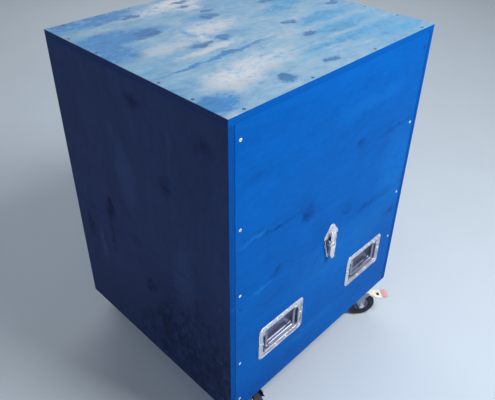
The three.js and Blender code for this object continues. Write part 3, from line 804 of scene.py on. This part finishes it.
def bail_path():
    bend_top, bend_grip = 7, 11
    right = [(BAIL_END, BAIL_TOP)]
    right += arc(BAIL_LEG + bend_top, BAIL_TOP - bend_top, bend_top, 90, 180, 8)
    right += arc(BAIL_LEG - bend_grip, BAIL_GRIP + bend_grip, bend_grip, 0, -90, 10)
    left = [(-u, v) for u, v in reversed(right)]
    return right + left


def handle_boss(bm, place, side):
    """The bracket inside the pan that the bail's end turns in, with its rolled eye."""
    outline = [(20.0, BAIL_TOP - 7.2), (20.0, BAIL_TOP + 7.2)]
    outline += [(4 + 6.6 * math.cos(a), BAIL_TOP + 7.2 * math.sin(a))
                for a in [math.radians(d) for d in range(90, 271, 15)]]
    inner, outer = sorted((side * BOSS_INNER, side * BOSS_OUTER))
    prism(bm, outline, inner, outer, lambda depth, up, x: place @ Vector((x, depth, up)))


def add_pan(corner, place):
    """The pressed sheet, darker in the well than on the flange: painted shade, as a darker copy of the zinc.
    """
    pan = add_piece(f"handle_pan_{corner}", "base", "zinc_plate", [zinc, pan_zinc_painted_shade],
                    lambda bm: handle_pan(bm, place), [f"handle_dish_{corner}"], smooth=40)
    for polygon in pan.data.polygons:
        depth = (place.inverted() @ polygon.center).y
        polygon.material_index = 1 if depth > 1.0 else 0


def add_brackets(corner, place):
    def build(bm):
        for side in (-1, 1):
            handle_boss(bm, place, side)

    add_piece(f"handle_brackets_{corner}", "base", "zinc_plate", [zinc], build, bevel=0.6 * MM)


def add_flange_trim(corner, place):
    """The rivets and the rolled edge of the flange, in the brighter zinc of painted highlight."""
    spots = [place @ Matrix.Translation((u, FLANGE_FACE, v)) @ facing((0, -1, 0)) for u, v in FLANGE_RIVETS]
    fastener_group(f"handle_rivets_{corner}", "base", "zinc_plate", zinc_painted_highlight, spots,
                   lambda bm, spot: rivet_head(bm, spot, RIVET_RADIUS, RIVET_HEIGHT))
    edge = rounded_rect(90.2, 59.7, 12.6)
    path = [place @ Vector((u, -1.4, v)) for u, v in edge + edge[:1]]
    add_piece(f"handle_edging_{corner}", "base", "zinc_plate", [zinc_painted_highlight],
              lambda bm: tube(bm, path, 1.1 * MM, 10), smooth=60)


def add_bail(corner, place):
    path = [place @ Vector((u, BAIL_DEPTH, v)) for u, v in bail_path()]
    add_piece(f"handle_bail_{corner}_finished", f"bail_{corner}", "bright_steel", [bail_steel_painted_shade],
              lambda bm: tube(bm, path, BAIL_RADIUS * MM, 24), [f"handle_bail_{corner}"], smooth=60)


def add_handles():
    for end, sy in ENDS.items():
        for side in SIDES:
            corner = f"{end}_{side}"
            low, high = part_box(f"handle_dish_{corner}")
            middle = (low + high) / 2
            place = station(middle.x, sy * abs(FRONT_Y), middle.z, 0 if sy < 0 else math.pi)
            add_pan(corner, place)
            add_brackets(corner, place)
            add_flange_trim(corner, place)
            add_bail(corner, place)


# ---------------------------------------------------------------- catch and hinges

CATCH_FACE = FRONT_Y - 2.3 * MM
CATCH_SCREW_RADIUS, KEEPER_SCREW_RADIUS, HINGE_SCREW_RADIUS = 3.4, 3.2, 4.0


def catch_plate_frame():
    """The foot of the catch's plate as a local frame, with the plate's half width and height."""
    low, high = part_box("catch_base_plate")
    place = station((low.x + high.x) / 2, FRONT_Y, low.z)
    return place, (high.x - low.x) / 2 / MM, (high.z - low.z) / MM


def add_catch_plate():
    """The base plate: a face in painted shade between the lever and its rolled edges, which carry painted
    highlight.
    """
    plate = link_mesh("catch_plate_finished", copy_of_node("catch_base_plate"), [zinc, plate_zinc],
                      bevel=0.4 * MM)
    for polygon in plate.data.polygons:
        polygon.material_index = 1 if polygon.normal.y < -0.9 else 0
    settle(plate, "base", ["catch_base_plate"])
    place, half, height = catch_plate_frame()
    side = [(half - 1.4, height - 1), (half - 1.4, 45.5), (half - 6, 40.8), (12.8, 5.2), (9.2, 1.4)]
    path = [place @ Vector((x, -2.6, z)) for x, z in side + [(-x, z) for x, z in reversed(side)]]
    add_piece("catch_plate_rim", "base", "zinc_plate", [zinc_painted_highlight],
              lambda bm: tube(bm, path, 1.3 * MM, 12), smooth=60)

    # Painted shadow: dark sheets in the plate's windows beside the lever, where the shade falls.
    def build_painted_shadow(bm):
        for sx in (-1, 1):
            inner, outer = sorted((sx * 16, sx * (half - 3)))
            outline = [(inner, 44), (outer, 44), (outer, height - 3), (inner, height - 3)]
            prism(bm, outline, -0.9, -0.3, lambda x, z, y: place @ Vector((x, y, z)))

    add_piece("catch_plate_painted_shadow", "base", "zinc_plate", [painted_shadow_fill], build_painted_shadow)


def add_catch_screws(name, body, node, reach, up, radius):
    """Two screws, each a distance from the plate's middle and above its foot, in millimetres."""
    middle_x = catch_plate_frame()[0].translation.x
    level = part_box(node)[0].z + up * MM
    places = [at(middle_x + x * MM, CATCH_FACE, level, (0, -1, 0)) for x in (-reach, reach)]
    add_screws(name, body, steel, places, radius)


def add_catch():
    for node, body in (("catch_keeper", "hood"), ("catch_lever", "lever"), ("catch_claw", "claw")):
        # The keeper, lever and claw take the zinc of painted highlight.
        refined(node, body, zinc_painted_highlight, 0.5 * MM, 3)
    add_catch_plate()
    for node, body in (("catch_pivot_pin", "base"), ("catch_claw_pin", "lever")):
        refined(node, body, steel, 0.4 * MM)
    add_catch_screws("catch_plate_screws", "base", "catch_base_plate", 9, 7, CATCH_SCREW_RADIUS)
    add_catch_screws("catch_keeper_screws", "hood", "catch_keeper", 25, 5.5, KEEPER_SCREW_RADIUS)


def add_hinge_leaf(node, body):
    refined(node, body, zinc, 0.5 * MM)
    low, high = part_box(node)
    middle_x = (low.x + high.x) / 2
    level = low.z + 14 * MM if body == "base" else high.z - 14 * MM
    face_y = -FRONT_Y + 2.8 * MM
    places = [at(middle_x + x * MM, face_y, level, (0, 1, 0)) for x in (-27, 0, 27)]
    add_screws(f"{node}_screws", body, steel, places, HINGE_SCREW_RADIUS)


def add_hinges():
    for side in SIDES:
        add_hinge_leaf(f"hinge_base_leaf_{side}", "base")
        add_hinge_leaf(f"hinge_hood_leaf_{side}", "hood")
        refined(f"hinge_pin_{side}", "base", steel, 0.5 * MM)


# ---------------------------------------------------------------- casters

# Heights above the floor, and distances along the trail from the swivel's axis, in millimetres.
AXLE_UP, TRAIL = 50, 38
CROWN_LOW, CROWN_TOP = 105, 109
CHEEK_IN, CHEEK_OUT = 18, 21
PEDAL_S, PEDAL_Z = 56, 103
PLATE_LOW, PLATE_TOP = 124.7, 127.7

# Turned pieces, as (radius, height) about the swivel's axis or the axle.
FORK_RACE = [(6.4, 106), (23, 106), (26, 108), (27, 110), (27, 112.5), (25.5, 114.6), (22, 115.8),
             (6.4, 115.8)]
KINGPIN = [(1, 99.2), (8, 99.2), (9, 100.4), (9, 104.6), (6, 104.6), (6, 116.4), (21, 116.4),
           (25.5, 117.6), (27, 119.8), (27, 122.5), (29, 124.8), (1, 124.8)]
TYRE = [(24.8, -13.2), (25.6, -14), (36, -14.6), (43.5, -15), (46.4, -14.2), (48.6, -12.2), (49.6, -9.4),
        (50, -5), (50, 5), (49.6, 9.4), (48.6, 12.2), (46.4, 14.2), (43.5, 15), (36, 14.6), (25.6, 14),
        (24.8, 13.2)]
HUB = [(10.5, -9), (19, -8.6), (20.4, -10.5), (21, -13.4), (21.8, -14.4), (23.6, -14.4), (24.5, -13.4),
       (24.5, 13.4), (23.6, 14.4), (21.8, 14.4), (21, 13.4), (20.4, 10.5), (19, 8.6), (10.5, 9)]
BEARING = [(5.4, -16.8), (8.2, -16.8), (9.4, -15.6), (10.6, -13), (10.6, 13), (9.4, 15.6), (8.2, 16.8),
           (5.4, 16.8)]
AXLE = [(1, -25.6), (4.6, -25.6), (5, -25.2), (5, 25.2), (4.6, 25.6), (1, 25.6)]
PEDAL_BARREL = [(1, -20.6), (3, -20.6), (3, -17), (5, -16.6), (5, 16.6), (3, 17), (3, 20.6), (1, 20.6)]
SPOKES = 5
SPOKE = [(9.8, -1.6), (20.5, -1.3), (20.5, 1.3), (9.8, 1.6)]


def caster_frame(corner):
    """The swivel's local frame: +X along the trail, +Y across, +Z up from the floor, in millimetres."""
    plate_low, plate_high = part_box(f"caster_plate_{corner}")
    tyre_low, tyre_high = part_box(f"caster_tyre_{corner}")
    pivot, wheel = (plate_low + plate_high) / 2, (tyre_low + tyre_high) / 2
    return station(pivot.x, pivot.y, 0, math.atan2(wheel.y - pivot.y, wheel.x - pivot.x))


def across(place, s, z):
    """Local +Z laid across the trail at a distance and a height."""
    return place @ Matrix.Translation((s, 0, z)) @ Matrix.Rotation(math.pi / 2, 4, "X")


def side_prism(bm, place, outline, low, high):
    """A block whose outline is seen from the side, as (along the trail, up) points."""
    prism(bm, outline, low, high, lambda s, z, y: place @ Vector((s, y, z)))


def flat_prism(bm, place, outline, low, high):
    """A block whose outline is seen from above."""
    prism(bm, outline, low, high, lambda s, y, z: place @ Vector((s, y, z)))


def cheek_outline():
    outline = [(-20, CROWN_TOP), (-20, CROWN_LOW - 4), (13, 79)]
    outline += arc(TRAIL, AXLE_UP, 10.5, 201, 371, 16)
    outline += [(49, 86), (PEDAL_S + 5, PEDAL_Z - 5)]
    outline += arc(PEDAL_S, PEDAL_Z, 6, 0, 90, 6)
    return outline


def add_fork(corner, place):
    def build(bm):
        for low, high in ((-CHEEK_OUT, -CHEEK_IN), (CHEEK_IN, CHEEK_OUT)):
            side_prism(bm, place, cheek_outline(), low, high)
        crown = [(s + 7, y) for s, y in rounded_rect(31, CHEEK_OUT - 0.1, 4)]
        flat_prism(bm, place, crown, CROWN_LOW, CROWN_TOP - 0.1)

    body = f"fork_{corner}"
    add_piece(f"caster_fork_{corner}_finished", body, "zinc_plate", [fork_zinc_painted_shade], build,
              [f"caster_fork_{corner}"], bevel=0.9 * MM, segments=3)
    add_piece(f"caster_race_{corner}", body, "zinc_plate", [zinc],
              lambda bm: lathe(bm, FORK_RACE, 56, place, closed=True), smooth=40)


def add_mount_plate(corner):
    low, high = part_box(f"caster_plate_{corner}")
    middle = (low + high) / 2
    place = station(middle.x, middle.y, 0)
    sheet = rounded_rect(50, 42.5, 9)
    add_piece(f"caster_plate_{corner}_finished", "base", "zinc_plate", [zinc],
              lambda bm: flat_prism(bm, place, sheet, PLATE_LOW, PLATE_TOP), [f"caster_plate_{corner}"],
              bevel=0.8 * MM, segments=3)
    add_piece(f"caster_kingpin_{corner}", "base", "zinc_plate", [zinc],
              lambda bm: lathe(bm, KINGPIN, 56, place), smooth=40)
    bolts = [place @ Matrix.Translation((sx * 38, sy * 31, PLATE_LOW)) @ facing((0, 0, -1))
             for sx in (-1, 1) for sy in (-1, 1)]
    fastener_group(f"caster_bolts_{corner}", "base", "bright_steel", steel, bolts,
                   lambda bm, spot: hex_head(bm, spot, 13, 5.2))


def spoked_hub(bm, place):
    lathe(bm, HUB, 72, place, closed=True)
    for index in range(SPOKES):
        turn = place @ Matrix.Rotation(2 * math.pi * index / SPOKES, 4, "Z")
        for low, high in ((-12.2, -7.5), (7.5, 12.2)):
            flat_prism(bm, turn, SPOKE, low, high)


def add_wheel(corner, place):
    body = f"wheel_{corner}"
    axle = across(place, TRAIL, AXLE_UP)
    add_piece(f"caster_tyre_{corner}_finished", body, "tyre_rubber", [rubber],
              lambda bm: lathe(bm, TYRE, 96, axle, closed=True), [f"caster_tyre_{corner}"], smooth=50)
    add_piece(f"caster_hub_{corner}_finished", body, "hub_plastic", [hub_plastic],
              lambda bm: spoked_hub(bm, axle), [f"caster_hub_{corner}"], smooth=40)
    add_piece(f"caster_bearing_{corner}", body, "bright_steel", [steel],
              lambda bm: lathe(bm, BEARING, 40, axle, closed=True), smooth=40)


def add_axle(corner, place):
    axle = across(place, TRAIL, AXLE_UP)

    def build(bm):
        lathe(bm, AXLE, 24, axle)
        for face in (-1, 1):
            head = axle @ Matrix.Translation((0, 0, face * 21.6)) @ facing((0, 0, face))
            hex_head(bm, head, 14.2, 4.4)
            low, high = sorted((face * 21.2, face * 22.0))
            lathe(bm, [(5, low), (8.4, low), (8.4, high), (5, high)], 32, axle, closed=True)

    add_piece(f"caster_axle_{corner}_finished", f"fork_{corner}", "bright_steel", [steel], build,
              [f"caster_axle_{corner}"], smooth=40)


# The pedal's sheet: distance along the trail, height, and how far its side skirts hang.
PEDAL_LINE = [(62, 102.6, 6.5), (66, 100.6, 6.5), (72, 96.2, 6.5), (79, 91.2, 6.0), (86, 86.2, 5.0),
              (91, 82.7, 4.0), (95, 80.6, 3.2), (100, 79.6, 2.8), (106, 79.3, 2.6), (112, 79.3, 2.6),
              (118, 79.3, 2.6)]
PEDAL_COLUMNS = (-17.2, -6.5, 6.5, 17.2)
SLOT_ROWS = (6, 7)

# The moulded tip: distance along the trail, half width, and lowest and highest point.
PEDAL_TIP = [(114, 16.5, 77.2, 81.6), (116, 18, 76.2, 82.4), (124, 18.4, 76.0, 83.4),
             (131, 17.4, 76.6, 84.2), (134.6, 15.4, 78.2, 83.4), (135.6, 13, 79.6, 82.2)]


def pedal_sheet(bm, place):
    """The pressed sheet with its slot and a skirt down each side."""
    grid = [[bm.verts.new(place @ Vector((s, y, z))) for y in PEDAL_COLUMNS] for s, z, _ in PEDAL_LINE]
    for row, (near, far) in enumerate(zip(grid, grid[1:])):
        for column in range(3):
            if column != 1 or row not in SLOT_ROWS:
                bm.faces.new((near[column], near[column + 1], far[column + 1], far[column]))
    for column in (0, 3):
        hem = [bm.verts.new(place @ Vector((s, PEDAL_COLUMNS[column], z - skirt)))
               for s, z, skirt in PEDAL_LINE]
        for row in range(len(grid) - 1):
            bm.faces.new((grid[row][column], grid[row + 1][column], hem[row + 1], hem[row]))


def pedal_tip(bm, place):
    rings = []
    for s, half, low, high in PEDAL_TIP:
        ring = rounded_rect(half, (high - low) / 2, (high - low) * 0.42, 4)
        rings.append([place @ Vector((s, y, (low + high) / 2 + z)) for y, z in ring])
    loft(bm, rings)


def add_pedal(corner, place):
    body, name = f"pedal_{corner}", f"brake_pedal_{corner}"
    sheet = add_piece(f"{name}_plate", body, "cream_steel", [cream_paint],
                      lambda bm: pedal_sheet(bm, place), [name], smooth=50)
    shell = sheet.modifiers.new("sheet", "SOLIDIFY")
    shell.thickness = 1.6 * MM
    shell.offset = 1.0
    round_edges(sheet, 0.5 * MM, angle=30.0, harden=False)

    def build_pivot(bm):
        lathe(bm, PEDAL_BARREL, 28, across(place, PEDAL_S, PEDAL_Z))
        side_prism(bm, place, [(58, 99.2), (64.5, 99.0), (64.5, 102.4), (58, 106.5)], -14, 14)

    add_piece(f"{name}_pivot", body, "cream_steel", [cream_paint], build_pivot, smooth=40, bevel=0.4 * MM)
    # Painted shadow: a dark block fills the slot in the pedal's sheet.
    slot = [(92, 77.6), (108, 77.0), (108, 77.8), (92, 78.4)]
    add_piece(f"{name}_slot", body, "cream_steel", [painted_shadow_fill],
              lambda bm: side_prism(bm, place, slot, -8, 8))
    add_piece(f"{name}_tip", body, "hub_plastic", [red_plastic], lambda bm: pedal_tip(bm, place), smooth=50)


def add_casters():
    for corner in CORNERS:
        place = caster_frame(corner)
        add_mount_plate(corner)
        add_fork(corner, place)
        add_wheel(corner, place)
        add_axle(corner, place)
        if corner in BRAKED:
            add_pedal(corner, place)


# ---------------------------------------------------------------- floor, light and camera

FLOOR_HALF = 14.0
FLOOR_PALE = (0.50, 0.57, 0.64)


def add_floor():
    bm = bmesh.new()
    corners = ((-1, -1), (1, -1), (1, 1), (-1, 1))
    bm.faces.new([bm.verts.new((sx * FLOOR_HALF, sy * FLOOR_HALF, 0)) for sx, sy in corners])
    material, tree, shader = new_material("pale_floor", roughness=0.75, specular=0.2)
    speck = noise(tree, object_place(tree), scale=3.0, detail=4.0)
    drive(tree, shader, base_color=shaded(tree, FLOOR_PALE, speck, 0.3, 0.7, 0.97, 1.0))
    floor = link_mesh("floor", bm, [material])


def add_softbox(name, position, target, size, power):
    light = bpy.data.lights.new(name, "AREA")
    light.shape = "RECTANGLE"
    light.size, light.size_y = size
    light.energy = power
    obj = bpy.data.objects.new(name, light)
    obj.location = position
    obj.rotation_euler = (Vector(target) - Vector(position)).to_track_quat("-Z", "Y").to_euler()
    bpy.context.scene.collection.objects.link(obj)


def add_lights():
    """A key on the front, a broad sky over the lid and a weak fill on the shaded side."""
    add_softbox("key", (0.7, -1.9, 3.0), (0, 0, 0.6), (1.2, 1.2), 118)
    add_softbox("sky", (2.9, 2.9, 3.2), (0, 0, 1.0), (5.0, 3.4), 90)
    add_softbox("side_fill", (-2.3, -0.1, 2.7), (-0.3, 0, 0.9), (1.2, 1.2), 14)
    world = bpy.data.worlds.new("studio")
    bpy.context.scene.world = world
    world.use_nodes = True
    world.node_tree.nodes["Background"].inputs["Color"].default_value = (0.86, 0.92, 1.0, 1)
    world.node_tree.nodes["Background"].inputs["Strength"].default_value = 0.24


CAMERA_POSITION = Vector((-1.0132, -1.0050, 1.5600))
CAMERA_AIM = Vector((0.59407, 0.58305, -0.55420))
CAMERA_ROLL = 0.49
SENSOR_MM, LENS_MM = 36.0, 40.2545
CAMERA_SHIFT = (0.005455, -0.05899)


def add_camera():
    camera = bpy.data.cameras.new("camera")
    camera.sensor_width = SENSOR_MM
    camera.lens = LENS_MM
    camera.shift_x, camera.shift_y = CAMERA_SHIFT
    camera.clip_end = 60
    obj = bpy.data.objects.new("camera", camera)
    turn = CAMERA_AIM.to_track_quat("-Z", "Y").to_matrix().to_4x4()
    roll = Matrix.Rotation(math.radians(CAMERA_ROLL), 4, "Z")
    obj.matrix_world = Matrix.Translation(CAMERA_POSITION) @ turn @ roll
    bpy.context.scene.collection.objects.link(obj)
    bpy.context.scene.camera = obj


add_camera()
add_floor()
add_lights()
add_panels()
add_panel_screws()
add_handles()
add_catch()
add_hinges()
add_casters()
bpy.context.scene.view_settings.view_transform = "Standard"
